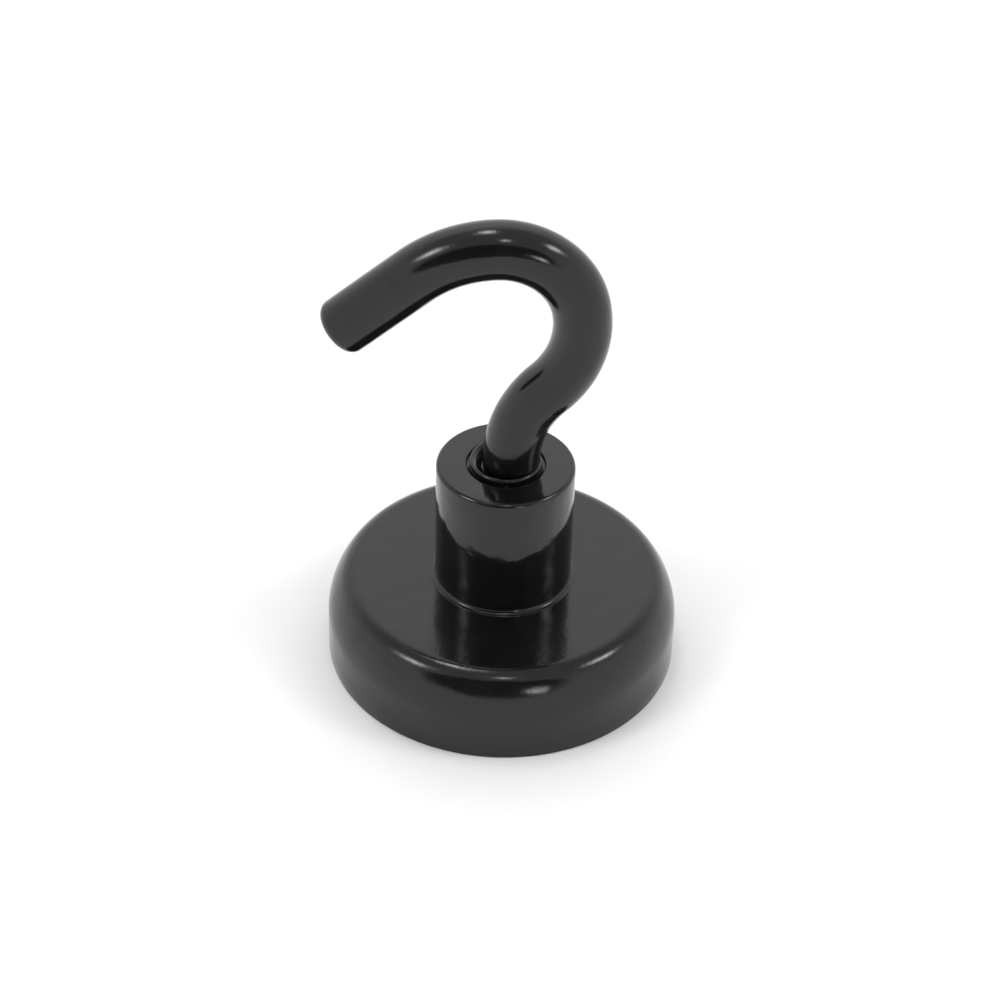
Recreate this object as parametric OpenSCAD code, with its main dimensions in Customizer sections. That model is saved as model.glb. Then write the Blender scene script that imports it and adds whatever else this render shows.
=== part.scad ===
// Hook magnet for magnet fishing: a coated steel pot with a raised threaded bush and a screwed-in open hook.
// Millimetres, +Z up. The origin is the centre of the flat working face underneath.
// The hook lies in the XZ plane: its bend leans to +X and its tip points to -X.

/* [Pot] */
// Outside diameter of the steel pot
pot_diameter = 32; // [28:0.5:42]
// Height of the pot from the working face to its flat roof
pot_height = 8.4; // [7.2:0.1:12]
// Small radius where the flat roof rolls over into the shoulder
shoulder_tight_radius = 2; // [1:0.1:3]
// Large radius where the shoulder runs down into the side
shoulder_wide_radius = 6; // [3:0.1:8]
// Chamfer on the outer bottom edge
rim_chamfer = 0.15; // [0.05:0.05:0.5]
// Thickness of the pot's side wall
wall_thickness = 2.6; // [1.8:0.1:4]
// Thickness of the pot's roof
roof_thickness = 3; // [2.2:0.1:4]

/* [Magnet and filling] */
// Diameter of the magnet disc
magnet_diameter = 24; // [18:0.5:25]
// Chamfer on both edges of the magnet disc
magnet_chamfer = 0.3; // [0.1:0.05:0.6]
// Thickness of the glue layer between magnet and roof
adhesive_thickness = 0.15; // [0.05:0.05:0.4]
// Depth of the resin seal that closes the ring gap at the working face
seal_depth = 1; // [0.5:0.1:2]

/* [Threaded bush] */
// Outside diameter of the bush that stands on the roof
bush_diameter = 12.4; // [10.4:0.1:18]
// Height of the bush above the pot's roof
bush_rise = 12.3; // [8:0.1:18]
// Rounding of the bush's top edge
bush_edge_radius = 0.4; // [0.1:0.05:1]
// Hollow fillet round the foot of the bush
foot_fillet_radius = 0.4; // [0.2:0.05:1]
// Height of the lip left at the outside of that fillet
foot_lip = 0.06; // [0.03:0.01:0.2]
// Diameter of the spigot that passes through the roof
spigot_diameter = 8; // [7.4:0.1:9]
// Depth of the cone that the spigot's end is spread into
stake_depth = 0.8; // [0.4:0.1:1.5]
// How far that cone widens, on the radius
stake_flare = 0.8; // [0.3:0.1:1.5]

/* [Thread and stop collar] */
// Outside diameter of the hook's thread
thread_diameter = 6; // [5:0.5:6.4]
// Distance from one thread crest to the next
thread_pitch = 1; // [0.8:0.05:1.25]
// Depth of the thread's grooves
thread_depth = 0.55; // [0.3:0.05:0.6]
// Length of the threaded shank below the collar's seat
shank_length = 10.6; // [7:0.1:12]
// Radial running clearance of thread in bush and of neck in collar
running_clearance = 0.05; // [0.02:0.01:0.1]
// Outside diameter of the stop collar
collar_diameter = 6.44; // [6:0.02:7.4]
// How far the collar stands above the bush's top
collar_rise = 0.45; // [0.2:0.05:1.5]
// Rounding of the collar's top edge
collar_edge_radius = 0.3; // [0.1:0.05:0.4]
// How far the hook's neck steps in from its thread, where it passes through the collar
neck_step = 0.45; // [0.2:0.05:0.8]
// Depth of the recess in the bush's top that the collar sits in
recess_depth = 0.35; // [0.2:0.05:1]
// Open gap round the collar in that recess, on the radius
recess_gap = 0.28; // [0.1:0.02:0.6]

/* [Hook] */
// Diameter of the hook's rod
rod_diameter = 5.1; // [4:0.1:6]
// How far the rod springs from the shank off its axis, towards the lean
root_offset = 0.5; // [0:0.05:0.8]
// Straight length of rod above the collar
root_straight = 0.5; // [0.2:0.1:4]
// Centreline radius of the first bend, away from the axis
lean_radius = 10.5; // [6:0.1:14]
// Angle of that first bend
lean_angle = 44.4; // [30:0.1:60]
// Centreline radius of the back of the hook's bowl
back_radius = 9.3; // [6:0.1:12]
// Angle of that back
back_angle = 56; // [40:0.1:80]
// Centreline radius of the tighter crown of the bowl
crown_radius = 6.9; // [5:0.1:12]
// Angle of that crown
crown_angle = 82.3; // [60:0.1:100]
// Centreline radius of the wider bend behind the tip
mouth_radius = 11.7; // [8:0.1:16]
// Angle of that bend
mouth_angle = 36.7; // [10:0.1:45]
// Length of the straight tip
tip_length = 8.9; // [4:0.1:14]
// Rounding of the tip's end
tip_edge_radius = 1; // [0.3:0.1:1.8]
// Extra rod radius on the lean, the crown and the tip, as the bending tools leave it
bend_step = 0.01; // [0.01:0.005:0.05]
// How far the thinner lengths of rod run into those fuller ones
bend_overlap = 0.2; // [0.1:0.05:0.2]

/* [Hidden] */
$fn = 96;

pot_r = pot_diameter / 2;
cavity_r = pot_r - wall_thickness;
cavity_top = pot_height - roof_thickness;
magnet_r = magnet_diameter / 2;
magnet_top = cavity_top - adhesive_thickness;

bush_r = bush_diameter / 2;
bush_top = pot_height + bush_rise;
spigot_r = spigot_diameter / 2;
stake_r = spigot_r + stake_flare;

thread_r = thread_diameter / 2 - running_clearance;
bore_r = thread_diameter / 2;
collar_r = collar_diameter / 2;
recess_r = collar_r + recess_gap;
seat_z = bush_top - recess_depth;
collar_top = bush_top + collar_rise;
neck_r = thread_r - neck_step;
collar_bore_r = neck_r + running_clearance;
shank_end = seat_z - shank_length;
groove_count = floor((shank_length - 1.6) / thread_pitch);

rod_r = rod_diameter / 2;
tip_r = rod_r + bend_step;
// Centres and joints of the hook's centreline, as x and z in the hook's plane
bend_z = collar_top + root_straight;
lean_x = root_offset + lean_radius;
p2x = lean_x - lean_radius * cos(lean_angle);
p2z = bend_z + lean_radius * sin(lean_angle);
back_x = p2x - back_radius * cos(lean_angle);
back_z = p2z + back_radius * sin(lean_angle);
back_end = back_angle - lean_angle;
p3x = back_x + back_radius * cos(back_end);
p3z = back_z + back_radius * sin(back_end);
crown_x = p3x - crown_radius * cos(back_end);
crown_z = p3z - crown_radius * sin(back_end);
crown_end = back_end + crown_angle;
p4x = crown_x + crown_radius * cos(crown_end);
p4z = crown_z + crown_radius * sin(crown_end);
mouth_x = p4x - mouth_radius * cos(crown_end);
mouth_z = p4z - mouth_radius * sin(crown_end);
mouth_end = crown_end + mouth_angle;
p5x = mouth_x + mouth_radius * cos(mouth_end);
p5z = mouth_z + mouth_radius * sin(mouth_end);
back_run_in = bend_overlap / back_radius * 180 / PI;
mouth_run_in = bend_overlap / mouth_radius * 180 / PI;

// Shoulder of the pot: a small arc from the roof, then a wide arc into the side. They meet on the
// slope of a 3-4-5 triangle, so that the meeting point is a round number on both arcs.
slope_sin = 0.8;
slope_cos = 0.6;
wide_z = pot_height - shoulder_tight_radius * (1 - slope_cos) - shoulder_wide_radius * slope_cos;
wide_x = pot_r - shoulder_wide_radius;
radius_gap = shoulder_wide_radius - shoulder_tight_radius;
tight_x = wide_x + radius_gap * slope_sin;
tight_z = wide_z + radius_gap * slope_cos;

module pot_outline() {
  difference() {
    union() {
      square([tight_x, pot_height]);
      square([pot_r, wide_z]);
      translate([tight_x, tight_z]) circle(r = shoulder_tight_radius);
      intersection() {
        translate([wide_x, wide_z]) circle(r = shoulder_wide_radius);
        polygon([[wide_x, wide_z], [wide_x + 30, wide_z],
                 [wide_x + 30 * slope_sin, wide_z + 30 * slope_cos]]);
      }
    }
    polygon([[pot_r - rim_chamfer, 0], [pot_r + 1, rim_chamfer + 1], [pot_r + 1, -1],
             [pot_r - rim_chamfer - 1, -1]]);
  }
}

module stake_cone() {
  translate([0, 0, cavity_top]) cylinder(h = stake_depth, r1 = stake_r, r2 = spigot_r);
}

// Pressed and turned steel pot that carries the magnet's flux round to the working face
module pot_cup() {
  color([0.05, 0.05, 0.055]) difference() {
    rotate_extrude() pot_outline();
    translate([0, 0, -1]) cylinder(h = cavity_top + 1, r = cavity_r);
    translate([0, 0, cavity_top - 0.5]) cylinder(h = roof_thickness + 1, r = spigot_r);
    stake_cone();
  }
}

module bush_outline() {
  difference() {
    union() {
      translate([0, pot_height]) square([bush_r, bush_rise - bush_edge_radius]);
      translate([0, bush_top - 2 * bush_edge_radius])
        square([bush_r - bush_edge_radius, 2 * bush_edge_radius]);
      translate([bush_r - bush_edge_radius, bush_top - bush_edge_radius])
        circle(r = bush_edge_radius);
      difference() {
        translate([0, pot_height])
          square([bush_r + foot_fillet_radius, foot_lip + foot_fillet_radius]);
        translate([bush_r + foot_fillet_radius, pot_height + foot_lip + foot_fillet_radius])
          circle(r = foot_fillet_radius);
      }
    }
    translate([0, seat_z]) square([recess_r, recess_depth + 1]);
  }
}

// Round bush with a tapped hole, its spigot pushed through the roof and spread from below
module threaded_bush() {
  color([0.07, 0.07, 0.075]) difference() {
    union() {
      rotate_extrude() bush_outline();
      translate([0, 0, cavity_top]) cylinder(h = roof_thickness, r = spigot_r);
      stake_cone();
    }
    translate([0, 0, cavity_top - 1]) cylinder(h = seat_z - cavity_top + 2, r = bore_r);
  }
}

// Thin layer of glue that fills the top of the pot's cavity
module adhesive_bed() {
  color([0.75, 0.7, 0.55])
    translate([0, 0, magnet_top]) cylinder(h = adhesive_thickness, r = cavity_r);
}

// Plated neodymium disc, flush with the working face
module magnet_disc() {
  color([0.72, 0.72, 0.7]) {
    cylinder(h = magnet_chamfer, r1 = magnet_r - magnet_chamfer, r2 = magnet_r);
    translate([0, 0, magnet_chamfer]) cylinder(h = magnet_top - 2 * magnet_chamfer, r = magnet_r);
    translate([0, 0, magnet_top - magnet_chamfer])
      cylinder(h = magnet_chamfer, r1 = magnet_r, r2 = magnet_r - magnet_chamfer);
  }
}

// Brass ring that keeps the magnet centred and off the pot's wall
module gap_ring() {
  color([0.8, 0.62, 0.25]) translate([0, 0, seal_depth]) difference() {
    cylinder(h = magnet_top - seal_depth, r = cavity_r);
    translate([0, 0, -1]) cylinder(h = magnet_top, r = magnet_r);
  }
}

// Resin poured over the brass ring and levelled with the working face
module resin_seal() {
  color([0.1, 0.1, 0.1]) difference() {
    cylinder(h = seal_depth, r = cavity_r);
    translate([0, 0, -1]) cylinder(h = seal_depth + 2, r = magnet_r);
  }
}

// Ring on the hook's neck that stops against the floor of the bush's recess
module stop_collar() {
  color([0.09, 0.09, 0.095]) rotate_extrude() difference() {
    union() {
      translate([0, seat_z]) square([collar_r, collar_top - seat_z - collar_edge_radius]);
      translate([0, seat_z]) square([collar_r - collar_edge_radius, collar_top - seat_z]);
      translate([collar_r - collar_edge_radius, collar_top - collar_edge_radius])
        circle(r = collar_edge_radius);
    }
    translate([0, seat_z - 1]) square([collar_bore_r, collar_top - seat_z + 2]);
  }
}

module shank_outline() {
  difference() {
    translate([0, shank_end]) square([thread_r, shank_length]);
    for (k = [0:groove_count - 1])
      translate([thread_r, shank_end + 0.9 + k * thread_pitch])
        polygon([[0.2, -thread_pitch * 0.42 - 0.14], [0.2, thread_pitch * 0.42 + 0.14],
                 [-thread_depth, thread_pitch * 0.08], [-thread_depth, -thread_pitch * 0.08]]);
    translate([thread_r, shank_end])
      polygon([[-0.5, -0.1], [-0.5, 0], [0, 0.5], [0.1, 0.5], [0.1, -0.1]]);
  }
}

module bend(x, z, radius, from, sweep, extra) {
  translate([x, 0, z]) rotate([90, 0, 0]) rotate([0, 0, from])
    rotate_extrude(angle = sweep) translate([radius, 0]) circle(r = rod_r + extra);
}

// Half section of the straight tip, with its end rounded
module tip_outline() {
  square([tip_r, tip_length - tip_edge_radius]);
  square([tip_r - tip_edge_radius, tip_length]);
  translate([tip_r - tip_edge_radius, tip_length - tip_edge_radius])
    circle(r = tip_edge_radius);
}

// One bent steel rod: threaded shank, neck, lean, bowl and straight tip
module hook() {
  color([0.06, 0.06, 0.065]) {
    rotate_extrude() shank_outline();
    translate([0, 0, seat_z]) cylinder(h = collar_top - seat_z, r = neck_r);
    translate([root_offset, 0, collar_top])
      cylinder(h = root_straight + bend_overlap, r = rod_r);
    bend(lean_x, bend_z, lean_radius, 180 - lean_angle, lean_angle, bend_step);
    bend(back_x, back_z, back_radius, -lean_angle - back_run_in,
         back_angle + 2 * back_run_in, 0);
    bend(crown_x, crown_z, crown_radius, back_end, crown_angle, bend_step);
    bend(mouth_x, mouth_z, mouth_radius, crown_end - mouth_run_in,
         mouth_angle + 2 * mouth_run_in, 0);
    translate([p5x, 0, p5z]) rotate([0, -mouth_end, 0]) rotate_extrude() tip_outline();
  }
}

pot_cup();
threaded_bush();
adhesive_bed();
magnet_disc();
gap_ring();
resin_seal();
stop_collar();
hook();
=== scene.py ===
# %% [markdown]
# # A hook magnet in glossy black coating
# This lesson dresses a small pot magnet with a screwed-in hook, the kind that is let down on a
# line to search a pond or a stream for lost iron. The measured model is made elsewhere and is
# loaded here as a fixed frame. What is made here is the finish: the smooth bent rod with its real
# thread, the pressed cup, the turned bush, and the thick black coating that covers them all.
#
# A model that somebody else has measured is never moved or rescaled. It is loaded, its box is
# kept, and everything new is placed from that box.

# %% Load the measured model
import math
import bpy
import bmesh
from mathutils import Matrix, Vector


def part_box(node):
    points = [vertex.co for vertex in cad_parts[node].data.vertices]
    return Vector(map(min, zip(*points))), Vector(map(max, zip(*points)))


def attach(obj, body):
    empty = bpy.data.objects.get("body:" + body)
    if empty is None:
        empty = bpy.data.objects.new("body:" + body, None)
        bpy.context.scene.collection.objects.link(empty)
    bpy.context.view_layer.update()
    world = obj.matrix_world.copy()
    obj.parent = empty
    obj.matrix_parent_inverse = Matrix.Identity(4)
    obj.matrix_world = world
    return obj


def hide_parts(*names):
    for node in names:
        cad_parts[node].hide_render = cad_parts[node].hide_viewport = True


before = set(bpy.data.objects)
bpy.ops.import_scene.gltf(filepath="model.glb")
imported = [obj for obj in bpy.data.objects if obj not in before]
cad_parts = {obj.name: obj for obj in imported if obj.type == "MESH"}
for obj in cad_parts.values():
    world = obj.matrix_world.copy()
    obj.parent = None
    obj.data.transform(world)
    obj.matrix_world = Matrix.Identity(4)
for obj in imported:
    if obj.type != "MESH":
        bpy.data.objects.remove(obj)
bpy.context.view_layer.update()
MM = 0.001
print("nodes:", ", ".join(sorted(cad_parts)))

# %% [markdown]
# ## Where things are
# The working face of the magnet lies in the plane z = 0, the axis of the pot is the Z axis, and
# the hook is bent in the XZ plane. A node's box gives its outer sizes, so a new piece that is
# drawn from those boxes fits its neighbours without any fitting by eye.

# %% Sizes read from the measured pieces
_, pot_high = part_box("pot_cup")
bush_low, bush_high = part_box("threaded_bush")
collar_low, collar_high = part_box("stop_collar")
hook_low, hook_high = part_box("hook")
_, seal_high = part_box("resin_seal")
_, magnet_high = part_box("magnet_disc")

pot_radius, pot_top = pot_high.x / MM, pot_high.z / MM
cavity_radius, magnet_radius = seal_high.x / MM, magnet_high.x / MM
roof_under, seal_top = bush_low.z / MM, seal_high.z / MM
bush_top, collar_seat = bush_high.z / MM, collar_low.z / MM
collar_radius, collar_top = collar_high.x / MM, collar_high.z / MM
shank_end, shank_radius = hook_low.z / MM, hook_high.y / MM
for label, value in (("pot radius", pot_radius), ("pot top", pot_top),
                     ("cavity radius", cavity_radius), ("bush top", bush_top),
                     ("collar radius", collar_radius), ("shank end", shank_end)):
    print(label, round(value, 2), "mm")

# %% [markdown]
# ## Camera
# The magnet is seen from about 38 degrees above the bench, with a longish lens that keeps the
# upright sides of the bush nearly parallel. A camera can be aimed with a constraint, but here its
# three axes are written down as a matrix, because that also holds the slight tilt of the horizon.
# It looks along +Y, square on to the plane in which the hook is bent.

# %% Camera
elevation = math.radians(38.259)
tilt = math.radians(1.618)
distance = 0.220
focal_length, film_width = 88.459, 36.0
target = Vector((-0.000433, 0.0, 0.016493))
level_up = Vector((0.0, math.sin(elevation), math.cos(elevation)))
level_right = Vector((1.0, 0.0, 0.0))
ahead = Vector((0.0, math.cos(elevation), -math.sin(elevation)))
right = level_right * math.cos(tilt) + level_up * math.sin(tilt)
up = level_up * math.cos(tilt) - level_right * math.sin(tilt)

lens = bpy.data.cameras.new("bench_camera")
lens.sensor_width = film_width
lens.lens = focal_length
lens.clip_start, lens.clip_end = 0.01, 10.0
camera = bpy.data.objects.new("bench_camera", lens)
bpy.context.scene.collection.objects.link(camera)
place = camera.matrix_world.copy()
for row in range(3):
    place[row][0], place[row][1], place[row][2] = right[row], up[row], -ahead[row]
    place[row][3] = target[row] - ahead[row] * distance
camera.matrix_world = place
bpy.context.scene.camera = camera
print("camera in mm:", [round(v / MM, 1) for v in camera.matrix_world.translation])

# %% [markdown]
# ## Picking by place
# Every piece below is made as by hand: a primitive is added, then faces or edges are picked and
# pushed in edit mode. An operator works on whatever is selected, so each piece starts with
# nothing selected, and a small helper picks vertices, edges or faces by where they are.

# %% Helpers for edit mode
def start_clean():
    """Object mode with nothing selected."""
    if bpy.context.object and bpy.context.object.mode != "OBJECT":
        bpy.ops.object.mode_set(mode="OBJECT")
    bpy.ops.object.select_all(action="DESELECT")


def pick(kind, test):
    """In edit mode, selects the verts, edges or faces whose middle, in mm, passes the test."""
    piece = bpy.context.object
    modes = {"verts": "VERT", "edges": "EDGE", "faces": "FACE"}
    bpy.ops.mesh.select_mode(type=modes[kind])
    bpy.ops.mesh.select_all(action="DESELECT")
    mesh = bmesh.from_edit_mesh(piece.data)
    found = 0
    for item in getattr(mesh, kind):
        corners = [item.co] if kind == "verts" else [v.co for v in item.verts]
        middle = piece.matrix_world @ (sum(corners, Vector()) / len(corners))
        if test(middle / MM):
            item.select_set(True)
            found += 1
    mesh.select_flush(True)
    bmesh.update_edit_mesh(piece.data)
    return found


def finish_piece(name, smooth_degrees=30.0):
    """Merges doubles, turns normals outward and shades the piece; its place goes into its mesh."""
    piece = bpy.context.object
    bpy.ops.object.mode_set(mode="EDIT")
    bpy.ops.mesh.select_all(action="SELECT")
    bpy.ops.mesh.remove_doubles(threshold=2e-7)
    bpy.ops.mesh.normals_make_consistent(inside=False)
    bpy.ops.object.mode_set(mode="OBJECT")
    bpy.ops.object.select_all(action="DESELECT")
    piece.select_set(True)
    bpy.ops.object.transform_apply(location=True, rotation=True, scale=True)
    bpy.ops.object.shade_smooth_by_angle(angle=math.radians(smooth_degrees))
    piece.name = name
    piece.data.name = name
    mesh = bmesh.new()
    mesh.from_mesh(piece.data)
    gaps = sum(1 for e in mesh.edges if len(e.link_faces) != 2)
    mesh.free()
    print(name, "faces:", len(piece.data.polygons), "open edges:", gaps,
          "size in mm:", [round(v / MM, 2) for v in piece.dimensions])
    return piece


# %% [markdown]
# ## Turned pieces
# The cup, the bush, the collar and the rings are all round about one axis, like pots on a wheel
# or parts from a lathe. They could be cylinders with bevels, but a section with two different
# roundings is easier to draw as an outline and then spin once round the axis. The outline starts
# as a plane merged to a single vertex, which is extruded from corner to corner.

# %% Helpers for outlines that are spun
def arc(centre, radius, start, end, count=10):
    """Points, in mm, on an arc in the section; angles in degrees from the outward direction."""
    return [(centre[0] + radius * math.cos(math.radians(start + (end - start) * i / count)),
             centre[1] + radius * math.sin(math.radians(start + (end - start) * i / count)))
            for i in range(count + 1)]


def draw_outline(points, closed=True):
    """Draws an outline in the XZ plane by extruding one vertex; points are (out, up), in mm."""
    start_clean()
    first = points[0]
    bpy.ops.mesh.primitive_plane_add(size=MM, location=(first[0] * MM, 0, first[1] * MM))
    bpy.ops.object.mode_set(mode="EDIT")
    bpy.ops.mesh.select_mode(type="VERT")
    bpy.ops.mesh.select_all(action="SELECT")
    bpy.ops.mesh.merge(type="CENTER")
    for a, b in zip(points, points[1:] + ([first] if closed else [])):
        step = ((b[0] - a[0]) * MM, 0, (b[1] - a[1]) * MM)
        if max(abs(v) for v in step) > 1e-9:
            bpy.ops.mesh.extrude_region_move(TRANSFORM_OT_translate={"value": step})
    bpy.ops.mesh.select_all(action="SELECT")
    bpy.ops.mesh.remove_doubles(threshold=2e-7)


def spin_outline(name, points, steps=192, smooth_degrees=30.0):
    """A closed outline spun once round the Z axis."""
    draw_outline(points)
    bpy.ops.mesh.select_all(action="SELECT")
    bpy.ops.mesh.spin(steps=steps, angle=math.tau, center=(0, 0, 0), axis=(0, 0, 1))
    bpy.ops.object.mode_set(mode="OBJECT")
    return finish_piece(name, smooth_degrees)


# %% [markdown]
# ## The pressed cup
# The cup is steel about 2.6 mm thick. Its shoulder has two roundings that meet without a crease:
# a tight one next to the flat top and a wide one that runs down into the side. That change of
# rounding is what bends the reflections of the lamps, so it is drawn exactly, with many points.

# %% Cup
tight, wide = 2.0, 6.0
tight_centre = (pot_radius - wide + (wide - tight) * 0.8, pot_top - tight)
wide_centre = (pot_radius - wide, tight_centre[1] - (wide - tight) * 0.6)
meet = math.degrees(math.asin(0.6))
stake = [(4.0, roof_under + 0.8), (4.8, roof_under)]

cup_outline = (
    [(cavity_radius, roof_under), (cavity_radius, 0.12)]
    + arc((cavity_radius + 0.12, 0.12), 0.12, 180, 270, 3)
    + arc((pot_radius - 0.15, 0.15), 0.15, -90, 0, 4)
    + [(pot_radius, 1.5), (pot_radius, 2.8)]
    + arc(wide_centre, wide, 0, meet, 22)
    + arc(tight_centre, tight, meet, 90, 18)
    + [(11.0, pot_top), (9.0, pot_top), (7.0, pot_top), (5.5, pot_top), (4.0, pot_top)]
    + stake)
cup = spin_outline("cup", cup_outline, 256)
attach(cup, "pot")
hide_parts("pot_cup")

# %% [markdown]
# ## The turned bush
# The bush is a short steel post, spun into the roof of the cup from below and bored for the hook.
# Its top edge is rounded just enough to catch a thin line of light, and at its foot the coating
# has gathered in the corner as a small hollow fillet that ends in a fine lip.

# %% Bush
bush_radius, bore_radius, recess_radius = 6.2, 3.0, 3.5
lip = 0.06
bush_outline = (
    [(bore_radius, roof_under), (bore_radius, collar_seat - 3.0), (bore_radius, collar_seat)]
    + [(recess_radius - 0.04, collar_seat)]
    + arc((recess_radius - 0.04, collar_seat + 0.04), 0.04, -90, 0, 2)
    + arc((recess_radius + 0.12, bush_top - 0.12), 0.12, 180, 90, 5)
    + [(4.6, bush_top)]
    + arc((bush_radius - 0.4, bush_top - 0.4), 0.4, 90, 0, 10)
    + [(bush_radius, bush_top - 3.0), (bush_radius, bush_top - 6.0), (bush_radius, pot_top + 3.0)]
    + arc((bush_radius + 0.4, pot_top + lip + 0.4), 0.4, 180, 270, 8)
    + arc((bush_radius + 0.4, pot_top + 0.001), lip, 90, 0, 3)
    + [(bush_radius + 0.46, pot_top - 0.04), (4.0, pot_top - 0.04)]
    + stake)
bush = spin_outline("bush", bush_outline, 192)
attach(bush, "pot")
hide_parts("threaded_bush")

# %% [markdown]
# ## The stop collar
# A ring on the neck of the hook sits in the bush's recess, so that the hook is always screwed in
# to the same depth. It stands a little proud of the bush. Its rim is rounded and its top is
# hollowed towards the rod, so that all the light it catches is one thin bright ring.

# %% Collar
collar_bore = 2.2
collar_outline = (
    [(collar_bore, collar_seat + 0.02)]
    + [(collar_radius - 0.08, collar_seat + 0.02)]
    + arc((collar_radius - 0.08, collar_seat + 0.1), 0.08, -90, 0, 3)
    + arc((collar_radius - 0.2, collar_top - 0.2), 0.2, 0, 110, 9)
    + [(2.6, collar_top - 0.32), (collar_bore, collar_top - 0.68)])
collar = spin_outline("collar", collar_outline, 160)
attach(collar, "collar")
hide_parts("stop_collar")

# %% [markdown]
# ## The bent rod
# The hook is one steel rod, bent cold round four formers: a lean out of the axis, the back of the
# bowl, its tighter crown, and a wide opening of the mouth before the straight tip. It could be a
# curve with a round bevel, but a curve's ends are hard to round. Here a disc is extruded and then
# spun round the centre of each former, exactly as the rod goes through the bending tool.

# %% Rod
rod_radius, root_offset = 2.55, 0.5
lean_radius, lean_turn = 10.5, 44.4
back_radius, back_turn = 9.3, 56.0
crown_radius, crown_turn = 6.9, 82.3
mouth_radius, mouth_turn = 11.7, 36.7
tip_length = 8.9


def bend(former_radius, turn, steps):
    """Spins the picked end face round a former: a positive turn leans to +X, a negative to -X."""
    mesh = bmesh.from_edit_mesh(bpy.context.object.data)
    face = max((f for f in mesh.faces if f.select), key=lambda f: len(f.verts))
    world = bpy.context.object.matrix_world
    middle = world @ face.calc_center_median()
    side = face.normal.cross(Vector((0, -1, 0))) * (1 if turn > 0 else -1)
    centre = middle + side.normalized() * former_radius * MM
    bpy.ops.mesh.spin(steps=steps, angle=math.radians(abs(turn)), center=centre,
                      axis=(0, -1 if turn > 0 else 1, 0))
    return [round(v / MM, 2) for v in centre]


start_clean()
neck_radius, neck_offset = rod_radius - root_offset / 2, root_offset / 2
neck_start, neck_end = collar_seat - 0.6, collar_seat + 0.25
root_start, root_end = collar_seat + 0.65, collar_top + 0.5
bpy.ops.mesh.primitive_circle_add(vertices=72, radius=neck_radius * MM, fill_type="NGON",
                                  location=(neck_offset * MM, 0, neck_start * MM))
bpy.ops.object.mode_set(mode="EDIT")
bpy.ops.mesh.select_mode(type="FACE")
bpy.ops.mesh.select_all(action="SELECT")
for across, rise in ((0.0, neck_end - neck_start),
                     (root_offset - neck_offset, root_start - neck_end)):
    bpy.ops.mesh.extrude_region_move(
        TRANSFORM_OT_translate={"value": (across * MM, 0, rise * MM)})
bpy.ops.transform.resize(value=(rod_radius / neck_radius, rod_radius / neck_radius, 1.0))
bpy.ops.mesh.extrude_region_move(
    TRANSFORM_OT_translate={"value": (0, 0, (root_end - root_start) * MM)})
print("lean former at", bend(lean_radius, lean_turn, 26))
print("back former at", bend(back_radius, -back_turn, 30))
print("crown former at", bend(crown_radius, -crown_turn, 42))
print("mouth former at", bend(mouth_radius, -mouth_turn, 24))
mesh = bmesh.from_edit_mesh(bpy.context.object.data)
end = [f for f in mesh.faces if f.select][0]
tip_steps, tip_bevel = 4, 1.0
for _ in range(tip_steps):
    step = end.normal * tip_length * MM / tip_steps
    bpy.ops.mesh.extrude_region_move(TRANSFORM_OT_translate={"value": step})
    mesh = bmesh.from_edit_mesh(bpy.context.object.data)
    end = [f for f in mesh.faces if f.select][0]
tip_middle = bpy.context.object.matrix_world @ end.calc_center_median()
print("tip ends at", [round(v / MM, 2) for v in tip_middle])
bpy.ops.mesh.bevel(offset=tip_bevel * MM, segments=9, profile=0.5, affect="EDGES")
bpy.ops.object.mode_set(mode="OBJECT")
rod = finish_piece("bent_rod", 30.0)
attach(rod, "hook")
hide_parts("hook")

# %% [markdown]
# ## The thread on the shank
# Below its collar the rod carries a screw thread, one millimetre of rise for each turn, which is
# seen only when the hook is screwed out. Rings round the shank would look nearly right, but a
# real thread climbs. The Screw modifier does that: one tooth is drawn, swept round, and lifted by
# its own height each turn. Then both ends are cut square with bisect.

# %% Thread
thread_pitch, tooth_depth = 1.0, 0.54
crest, root = shank_radius, shank_radius - tooth_depth
start = shank_end - 1.6
tooth = [(crest, start), (crest, start + 0.09), (root, start + 0.46), (root, start + 0.54),
         (crest, start + 0.91), (crest, start + 1.0)]
draw_outline(tooth, closed=False)
bpy.ops.object.mode_set(mode="OBJECT")
bpy.ops.object.transform_apply(location=True, rotation=True, scale=True)
sweep = bpy.context.object.modifiers.new("climb", "SCREW")
sweep.axis, sweep.angle, sweep.screw_offset = "Z", math.tau, thread_pitch * MM
sweep.iterations, sweep.steps, sweep.render_steps = 14, 56, 56
bpy.ops.object.modifier_apply(modifier=sweep.name)
bpy.ops.object.mode_set(mode="EDIT")
bpy.ops.mesh.select_all(action="SELECT")
bpy.ops.mesh.remove_doubles(threshold=5e-7)
for height, inner in ((shank_end, True), (collar_seat - 0.05, False)):
    bpy.ops.mesh.select_all(action="SELECT")
    bpy.ops.mesh.bisect(plane_co=(0, 0, height * MM), plane_no=(0, 0, 1), use_fill=True,
                        clear_inner=inner, clear_outer=not inner, threshold=1e-7)
pick("verts", lambda p: p.z < shank_end + 0.001)
bpy.ops.transform.resize(value=(0.88, 0.88, 1.0))
thread = finish_piece("thread", 25.0)
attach(thread, "hook")
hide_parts("hook")

# %% [markdown]
# ## The poured seal
# Between the magnet and the rim of the cup a ring of resin is poured, level with the face. Resin
# climbs the walls a little as it sets, so its surface is drawn as a shallow hollow, a meniscus,
# instead of a flat ring.

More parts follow.
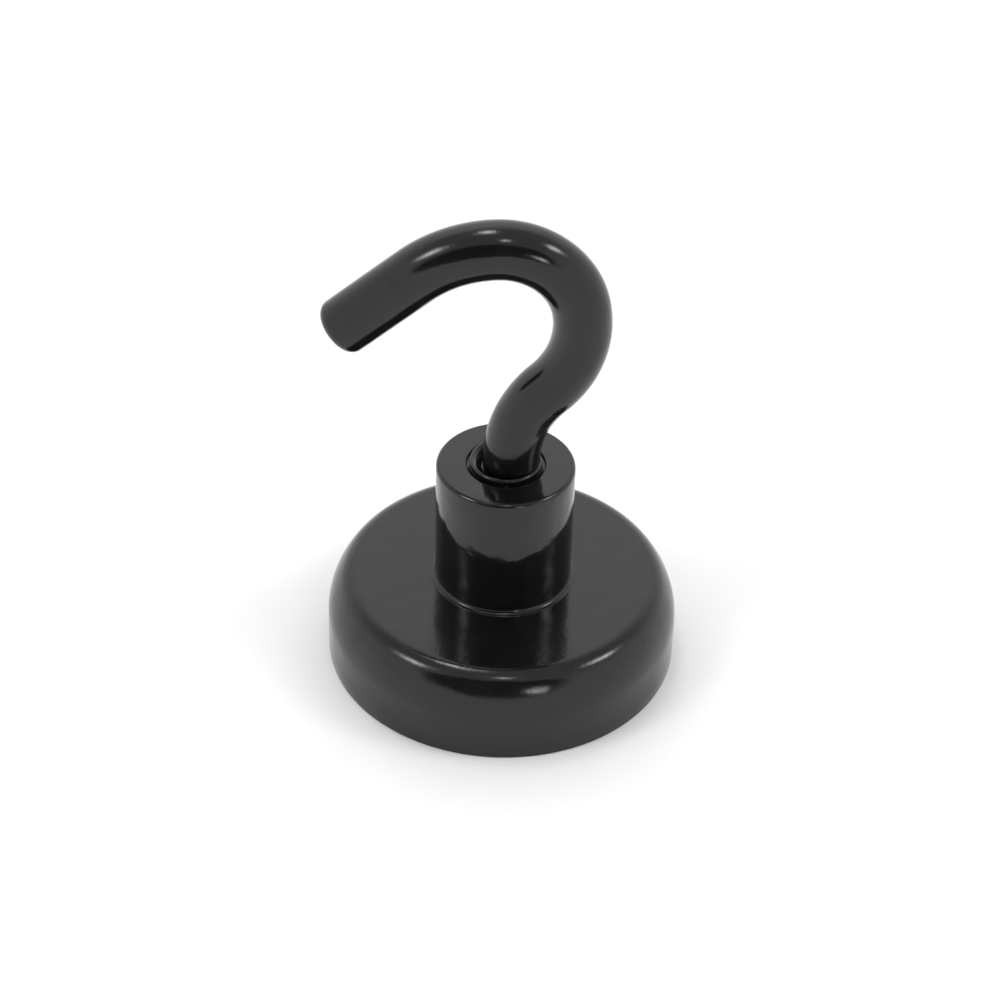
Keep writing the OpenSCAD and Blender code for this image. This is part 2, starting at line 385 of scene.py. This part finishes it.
# %% Seal
sag = 0.12
middle_radius, half_gap = (cavity_radius + magnet_radius) / 2, (cavity_radius - magnet_radius) / 2
hollow = [(middle_radius + half_gap * t / 6, sag * (1 - (t / 6) ** 2)) for t in range(6, -7, -1)]
seal_outline = hollow + [(magnet_radius, seal_top), (cavity_radius, seal_top)]
seal = spin_outline("poured_seal", seal_outline, 192)
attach(seal, "pot")
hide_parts("resin_seal")

# %% [markdown]
# ## Surroundings
# Glossy black shows almost nothing of its own: what the eye reads is the room in its surface. So
# the room matters more than any lamp. Here it is a white tent with a dark opening on the side
# where the viewer stands, a brighter back wall, and a few soft lamps. Area lights could do it, but
# in a world shader each lamp can have a soft edge, and none can come into view from another side.
# One node group makes a soft oval patch of light, and it serves for the lamps, the opening and
# the wall.

# %% World helpers
def add_node(tree, kind, **settings):
    node = tree.nodes.new(kind)
    for key, value in settings.items():
        setattr(node, key, value)
    return node


def math_node(tree, operation, a, b=0.0):
    """A Math node whose inputs are numbers or other sockets; gives its output."""
    node = add_node(tree, "ShaderNodeMath", operation=operation)
    for socket, value in zip(node.inputs, (a, b)):
        if isinstance(value, (int, float)):
            socket.default_value = value
        else:
            tree.links.new(value, socket)
    return node.outputs[0]


def ramp_node(tree, value, low, high, to_low=0.0, to_high=1.0, smooth=True):
    """A Map Range node, smooth by default and clamped; gives its output."""
    node = add_node(tree, "ShaderNodeMapRange")
    node.interpolation_type = "SMOOTHSTEP" if smooth else "LINEAR"
    tree.links.new(value, node.inputs["Value"])
    for name, number in (("From Min", low), ("From Max", high),
                         ("To Min", to_low), ("To Max", to_high)):
        node.inputs[name].default_value = number
    return node.outputs[0]


def new_group(name, inputs, outputs):
    """A node group with named sockets; gives the group, its input node and its output node."""
    group = bpy.data.node_groups.new(name, "ShaderNodeTree")
    for label, kind, value in inputs:
        socket = group.interface.new_socket(label, in_out="INPUT", socket_type=kind)
        if value is not None:
            socket.default_value = value
    for label, kind in outputs:
        group.interface.new_socket(label, in_out="OUTPUT", socket_type=kind)
    return group, group.nodes.new("NodeGroupInput"), group.nodes.new("NodeGroupOutput")


def use_group(tree, group, **values):
    """Adds a group node; each value is a number, a tuple or another socket."""
    node = add_node(tree, "ShaderNodeGroup", node_tree=group)
    for key, value in values.items():
        socket = node.inputs[key.replace("_", " ")]
        if isinstance(value, bpy.types.NodeSocket):
            tree.links.new(value, socket)
        else:
            socket.default_value = value
    return node


# %% A soft oval patch of light
patch, patch_in, patch_out = new_group(
    "soft_patch",
    [("Ray", "NodeSocketVector", None), ("Across", "NodeSocketVector", None),
     ("Along", "NodeSocketVector", None), ("Facing", "NodeSocketVector", None),
     ("Inner", "NodeSocketFloat", 0.0), ("Outer", "NodeSocketFloat", 2.5),
     ("Sharpness", "NodeSocketFloat", 3.0)],
    [("Light", "NodeSocketFloat")])
dots = {}
for name in ("Across", "Along", "Facing"):
    dot = add_node(patch, "ShaderNodeVectorMath", operation="DOT_PRODUCT")
    patch.links.new(patch_in.outputs["Ray"], dot.inputs[0])
    patch.links.new(patch_in.outputs[name], dot.inputs[1])
    dots[name] = dot.outputs["Value"]
a2 = math_node(patch, "MULTIPLY", dots["Across"], dots["Across"])
b2 = math_node(patch, "MULTIPLY", dots["Along"], dots["Along"])
reach = math_node(patch, "SQRT", math_node(patch, "ADD", a2, b2))
fade = add_node(patch, "ShaderNodeMapRange", interpolation_type="SMOOTHSTEP")
patch.links.new(reach, fade.inputs["Value"])
patch.links.new(patch_in.outputs["Outer"], fade.inputs["From Min"])
patch.links.new(patch_in.outputs["Inner"], fade.inputs["From Max"])
ahead_of = math_node(patch, "GREATER_THAN", dots["Facing"], 0.0)
core = math_node(patch, "POWER", fade.outputs[0], patch_in.outputs["Sharpness"])
patch.links.new(math_node(patch, "MULTIPLY", core, ahead_of), patch_out.inputs[0])
print("patch group has", len(patch.nodes), "nodes")

# %% [markdown]
# ## The tent and what stands in it
# The cloth is brightest low down and falls off overhead. The opening takes nearly all light away
# in front, and the back wall adds some behind, where the flat tops of cup and bush are looking.
# The lamps have a small bright core and a long soft edge. White paper is usually exposed until it
# is clean white, so the light that falls on matt surfaces is raised by a quarter, while mirrored
# light stays as it is.

# %% The white tent, its opening and its lamps
world = bpy.data.worlds.new("white_tent")
bpy.context.scene.world = world
world.use_nodes = True
tent = world.node_tree
tent.nodes.clear()
ray = add_node(tent, "ShaderNodeTexCoord").outputs["Generated"]


def oval(azimuth, height, half_width, half_length, lean=0.0, inner=0.0, outer=2.5,
         sharpness=3.0):
    """A patch at azimuth (0 behind the magnet, + to the right) and height, all in degrees."""
    a, h = math.radians(azimuth), math.radians(height)
    facing = Vector((math.sin(a) * math.cos(h), math.cos(a) * math.cos(h), math.sin(h)))
    deep = Vector((math.sin(math.radians(lean)), math.cos(math.radians(lean)), 0.0))
    along = (deep - facing * deep.dot(facing)).normalized()
    across = facing.cross(along).normalized()
    return use_group(
        tent, patch, Ray=ray, Facing=facing,
        Across=across / math.sin(math.radians(half_width)),
        Along=along / math.sin(math.radians(half_length)),
        Inner=inner, Outer=outer, Sharpness=sharpness).outputs["Light"]


# Each lamp: name, azimuth, height, half width, half length, lean, strength; angles in degrees.
lamps = (("left", -111, 45, 7.5, 7.5, -111, 12.0),
         ("right", 95, 46, 7.5, 7.5, 95, 12.0),
         ("top", -38, 73, 4.5, 8.0, 0, 11.0),
         ("front", 175, 68, 4.5, 4.5, 0, 8.0),
         ("low", 157, 19, 4.5, 5.0, 0, 9.0))
upright = add_node(tent, "ShaderNodeSeparateXYZ")
tent.links.new(ray, upright.inputs[0])
cloth = ramp_node(tent, upright.outputs["Z"], 0.25, 0.85, 1.12, 0.62)
opening_depth, wall_strength, paper_boost, seen_white = 0.93, 0.65, 0.24, 1.05
opening = oval(-177, 30, 42, 23, lean=-177, inner=0.85, outer=1.1, sharpness=1.0)
shaded = math_node(tent, "MULTIPLY", cloth, math_node(
    tent, "SUBTRACT", 1.0, math_node(tent, "MULTIPLY", opening, opening_depth)))
total = shaded
for name, azimuth, height, half_width, half_length, lean, strength in lamps:
    glow = oval(azimuth, height, half_width, half_length, lean)
    total = math_node(tent, "ADD", total, math_node(tent, "MULTIPLY", glow, strength))
    print("lamp", name, "at", azimuth, height, "strength", strength)
back_wall = oval(-2, 46, 40, 16, lean=-2, inner=0.3, outer=1.4, sharpness=1.0)
total = math_node(tent, "ADD", total, math_node(tent, "MULTIPLY", back_wall, wall_strength))
path = add_node(tent, "ShaderNodeLightPath")
on_paper = math_node(tent, "MULTIPLY", path.outputs["Is Diffuse Ray"], paper_boost)
total = math_node(tent, "MULTIPLY", total, math_node(tent, "ADD", on_paper, 1.0))
seen = path.outputs["Is Camera Ray"]
glow_or_white = add_node(tent, "ShaderNodeMix", data_type="FLOAT")
tent.links.new(seen, glow_or_white.inputs["Factor"])
tent.links.new(total, glow_or_white.inputs["A"])
glow_or_white.inputs["B"].default_value = seen_white
sky = add_node(tent, "ShaderNodeBackground")
tent.links.new(glow_or_white.outputs["Result"], sky.inputs["Strength"])
sky.inputs["Color"].default_value = (1.0, 1.0, 1.0, 1.0)
tent.links.new(sky.outputs[0], add_node(tent, "ShaderNodeOutputWorld").inputs["Surface"])
bpy.context.scene.view_settings.view_transform = "Standard"

# %% [markdown]
# ## Bench
# The magnet stands on plain white paper. One plane is enough, but it is kept off pure white and
# slightly uneven, so that the soft shadow round the cup has something to fall on.

# %% Bench
start_clean()
bpy.ops.mesh.primitive_plane_add(size=4.0, location=(0, 0, 0))
bench = bpy.context.object
bench.name = "bench_paper"

# %% [markdown]
# ## Effects that several finishes share
# A thick coating, sprayed and baked, is never quite flat. It has long shallow waves, a fine
# orange peel on top of them, a few grains of dust, and faint films where it was handled. Each of
# these is a node group, so that every coated piece can use it at its own size. The groups give
# plain numbers, which the finishes then use for colour, roughness and bump height.

# %% Waves and orange peel
peel, peel_in, peel_out = new_group(
    "orange_peel",
    [("Place", "NodeSocketVector", None), ("Wave Size", "NodeSocketFloat", 2.8),
     ("Peel Size", "NodeSocketFloat", 0.45), ("Peel Share", "NodeSocketFloat", 0.1)],
    [("Height", "NodeSocketFloat")])


def noise_at(tree, place, per_metre, detail=2.0, roughness=0.5):
    """A Noise texture of so many waves per metre; gives its value."""
    node = add_node(tree, "ShaderNodeTexNoise")
    tree.links.new(place, node.inputs["Vector"])
    if isinstance(per_metre, (int, float)):
        node.inputs["Scale"].default_value = per_metre
    else:
        tree.links.new(per_metre, node.inputs["Scale"])
    node.inputs["Detail"].default_value = detail
    node.inputs["Roughness"].default_value = roughness
    return node.outputs[0]


wave_scale = math_node(peel, "DIVIDE", 1000.0, peel_in.outputs["Wave Size"])
peel_scale = math_node(peel, "DIVIDE", 1000.0, peel_in.outputs["Peel Size"])
waves = noise_at(peel, peel_in.outputs["Place"], wave_scale, 0.0)
fine = noise_at(peel, peel_in.outputs["Place"], peel_scale, 1.0)
peel.links.new(math_node(peel, "ADD", waves, math_node(
    peel, "MULTIPLY", fine, peel_in.outputs["Peel Share"])), peel_out.inputs["Height"])

# %% Dust grains
dust, dust_in, dust_out = new_group(
    "dust_grains",
    [("Place", "NodeSocketVector", None), ("Grain Size", "NodeSocketFloat", 0.05),
     ("Spacing", "NodeSocketFloat", 1.2), ("Amount", "NodeSocketFloat", 0.3)],
    [("Mask", "NodeSocketFloat")])
cells = add_node(dust, "ShaderNodeTexVoronoi", feature="F1")
dust.links.new(dust_in.outputs["Place"], cells.inputs["Vector"])
dust.links.new(math_node(dust, "DIVIDE", 1000.0, dust_in.outputs["Spacing"]),
               cells.inputs["Scale"])
limit = math_node(dust, "DIVIDE", dust_in.outputs["Grain Size"], dust_in.outputs["Spacing"])
near = math_node(dust, "LESS_THAN", cells.outputs["Distance"], limit)
lucky = add_node(dust, "ShaderNodeSeparateColor")
dust.links.new(cells.outputs["Color"], lucky.inputs[0])
chosen = math_node(dust, "LESS_THAN", lucky.outputs[0], dust_in.outputs["Amount"])
dust.links.new(math_node(dust, "MULTIPLY", near, chosen), dust_out.inputs["Mask"])

# %% Handling film
film, film_in, film_out = new_group(
    "handling_film",
    [("Place", "NodeSocketVector", None), ("Size", "NodeSocketFloat", 6.0)],
    [("Film", "NodeSocketFloat")])
cloud = noise_at(film, film_in.outputs["Place"],
                 math_node(film, "DIVIDE", 1000.0, film_in.outputs["Size"]), 4.0, 0.62)
film.links.new(ramp_node(film, cloud, 0.45, 0.75), film_out.inputs["Film"])
print("groups:", peel.name, dust.name, film.name)

# %% [markdown]
# ## The black coating
# The coating on the cup, the bush, the collar and the hook is one and the same: black, dense and
# glossy, a clear reflection with slightly soft edges. Base colour stays very dark, because a
# lighter one would look like plastic. It is made once as a function of a few sizes, so that a
# narrow turned piece can have smaller waves than the wide cup.

# %% Coating
def coating(name, wave_size, wave_depth, roughness, peel_share=0.1, deep=0.005):
    """Black coating; wave_size in mm, wave_depth in thousandths of a mm."""
    material = bpy.data.materials.new(name)
    material.use_nodes = True
    tree = material.node_tree
    shader = tree.nodes["Principled BSDF"]
    place = add_node(tree, "ShaderNodeTexCoord").outputs["Object"]
    grains = use_group(tree, dust, Place=place, Grain_Size=0.045, Spacing=1.1,
                       Amount=0.22).outputs["Mask"]
    touched = use_group(tree, film, Place=place, Size=7.0).outputs["Film"]
    tone = noise_at(tree, place, 420.0, 3.0)
    dark = ramp_node(tree, tone, 0.3, 0.7, deep, deep * 1.5, smooth=False)
    value = math_node(tree, "ADD", dark, math_node(tree, "MULTIPLY", grains, 0.03))
    colour = add_node(tree, "ShaderNodeCombineColor")
    for socket in colour.inputs[:3]:
        tree.links.new(value, socket)
    tree.links.new(colour.outputs[0], shader.inputs["Base Color"])
    dull = math_node(tree, "ADD", roughness, math_node(tree, "MULTIPLY", touched, 0.035))
    dull = math_node(tree, "ADD", dull, math_node(tree, "MULTIPLY", grains, 0.25))
    tree.links.new(dull, shader.inputs["Roughness"])
    height = use_group(tree, peel, Place=place, Wave_Size=wave_size, Peel_Size=0.42,
                       Peel_Share=peel_share).outputs["Height"]
    height = math_node(tree, "ADD", height, math_node(tree, "MULTIPLY", grains, 0.25))
    bump = add_node(tree, "ShaderNodeBump")
    bump.inputs["Strength"].default_value = 1.0
    bump.inputs["Distance"].default_value = wave_depth * 1e-6
    tree.links.new(height, bump.inputs["Height"])
    tree.links.new(bump.outputs["Normal"], shader.inputs["Normal"])
    shader.inputs["IOR"].default_value = 1.47
    print(name, "waves", wave_size, "mm")
    return material


def dress(piece, material):
    """Puts one material on a piece, in place of what it had."""
    if piece.material_slots:
        for slot in piece.material_slots:
            slot.material = material
    else:
        piece.data.materials.append(material)


dress(cup, coating("black_coat_cup", 2.6, 46.0, 0.13, 0.16))
dress(bush, coating("black_coat_bush", 1.3, 34.0, 0.08, 0.12))
dress(collar, coating("black_coat_collar", 1.6, 10.0, 0.09, 0.06))
dress(rod, coating("black_coat_rod", 2.4, 60.0, 0.11, 0.10))
dress(thread, coating("black_coat_thread", 0.8, 8.0, 0.22, 0.2, 0.006))

# %% [markdown]
# ## Bare metal, glue and resin
# The working face shows what the coating leaves free: the nickel-plated magnet with fine lapping
# marks, and the ring of poured resin. The brass ring, the glue and the coating inside the cup are
# hidden until the face is turned up, but an honest model has them too.

# %% Metals
def metal(name, tint, roughness, mark_size, stretch, depth):
    """Bare metal with fine marks; mark_size in mm, stretch along the three axes."""
    material = bpy.data.materials.new(name)
    material.use_nodes = True
    tree = material.node_tree
    shader = tree.nodes["Principled BSDF"]
    shader.inputs["Metallic"].default_value = 1.0
    place = add_node(tree, "ShaderNodeTexCoord").outputs["Object"]
    drawn = add_node(tree, "ShaderNodeMapping", vector_type="POINT")
    tree.links.new(place, drawn.inputs["Vector"])
    drawn.inputs["Scale"].default_value = stretch
    marks = noise_at(tree, drawn.outputs[0], 1000.0 / mark_size, 5.0, 0.6)
    tarnish = use_group(tree, film, Place=place, Size=5.0).outputs["Film"]
    mix = add_node(tree, "ShaderNodeMix", data_type="RGBA")
    tree.links.new(tarnish, mix.inputs["Factor"])
    mix.inputs["A"].default_value = (*tint, 1.0)
    mix.inputs["B"].default_value = (*(c * 0.8 for c in tint), 1.0)
    tree.links.new(mix.outputs["Result"], shader.inputs["Base Color"])
    tree.links.new(ramp_node(tree, marks, 0.3, 0.7, roughness * 0.7, roughness * 1.4),
                   shader.inputs["Roughness"])
    bump = add_node(tree, "ShaderNodeBump")
    bump.inputs["Distance"].default_value = depth * 1e-6
    tree.links.new(marks, bump.inputs["Height"])
    tree.links.new(bump.outputs["Normal"], shader.inputs["Normal"])
    return material


dress(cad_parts["magnet_disc"],
      metal("nickel_plate", (0.66, 0.63, 0.57), 0.20, 0.35, (1.0, 9.0, 1.0), 3.0))
dress(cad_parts["gap_ring"],
      metal("turned_brass", (0.72, 0.52, 0.22), 0.28, 0.30, (1.0, 1.0, 8.0), 4.0))

# %% Glue and resin
def cast(name, tint, roughness, bubble_size, depth):
    """A poured or spread resin with a faint unevenness and small bubbles."""
    material = bpy.data.materials.new(name)
    material.use_nodes = True
    tree = material.node_tree
    shader = tree.nodes["Principled BSDF"]
    place = add_node(tree, "ShaderNodeTexCoord").outputs["Object"]
    bubbles = use_group(tree, dust, Place=place, Grain_Size=bubble_size * 0.3,
                        Spacing=bubble_size * 3, Amount=0.4).outputs["Mask"]
    cloud = noise_at(tree, place, 700.0, 3.0)
    mix = add_node(tree, "ShaderNodeMix", data_type="RGBA")
    tree.links.new(cloud, mix.inputs["Factor"])
    mix.inputs["A"].default_value = (*tint, 1.0)
    mix.inputs["B"].default_value = (*(c * 1.5 for c in tint), 1.0)
    tree.links.new(mix.outputs["Result"], shader.inputs["Base Color"])
    tree.links.new(ramp_node(tree, cloud, 0.3, 0.7, roughness * 0.8, roughness * 1.3),
                   shader.inputs["Roughness"])
    bump = add_node(tree, "ShaderNodeBump")
    bump.inputs["Distance"].default_value = depth * 1e-6
    tree.links.new(math_node(tree, "SUBTRACT", cloud, bubbles), bump.inputs["Height"])
    tree.links.new(bump.outputs["Normal"], shader.inputs["Normal"])
    return material


dress(seal, cast("black_resin", (0.012, 0.012, 0.013), 0.28, 0.25, 30.0))
dress(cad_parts["adhesive_bed"], cast("grey_glue", (0.20, 0.19, 0.17), 0.45, 0.2, 40.0))
hidden_coat = coating("black_coat_hidden", 3.0, 20.0, 0.12)
for hidden in ("pot_cup", "threaded_bush", "stop_collar", "hook", "resin_seal"):
    dress(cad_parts[hidden], hidden_coat)

# %% Paper
paper = bpy.data.materials.new("white_paper")
paper.use_nodes = True
tree = paper.node_tree
shader = tree.nodes["Principled BSDF"]
place = add_node(tree, "ShaderNodeTexCoord").outputs["Object"]
fibres = noise_at(tree, place, 60.0, 6.0, 0.7)
tone = add_node(tree, "ShaderNodeMix", data_type="RGBA")
tree.links.new(fibres, tone.inputs["Factor"])
tone.inputs["A"].default_value = (0.90, 0.90, 0.90, 1.0)
tone.inputs["B"].default_value = (0.92, 0.92, 0.92, 1.0)
tree.links.new(tone.outputs["Result"], shader.inputs["Base Color"])
shader.inputs["Roughness"].default_value = 0.75
shader.inputs["Specular IOR Level"].default_value = 0.15
dress(bench, paper)
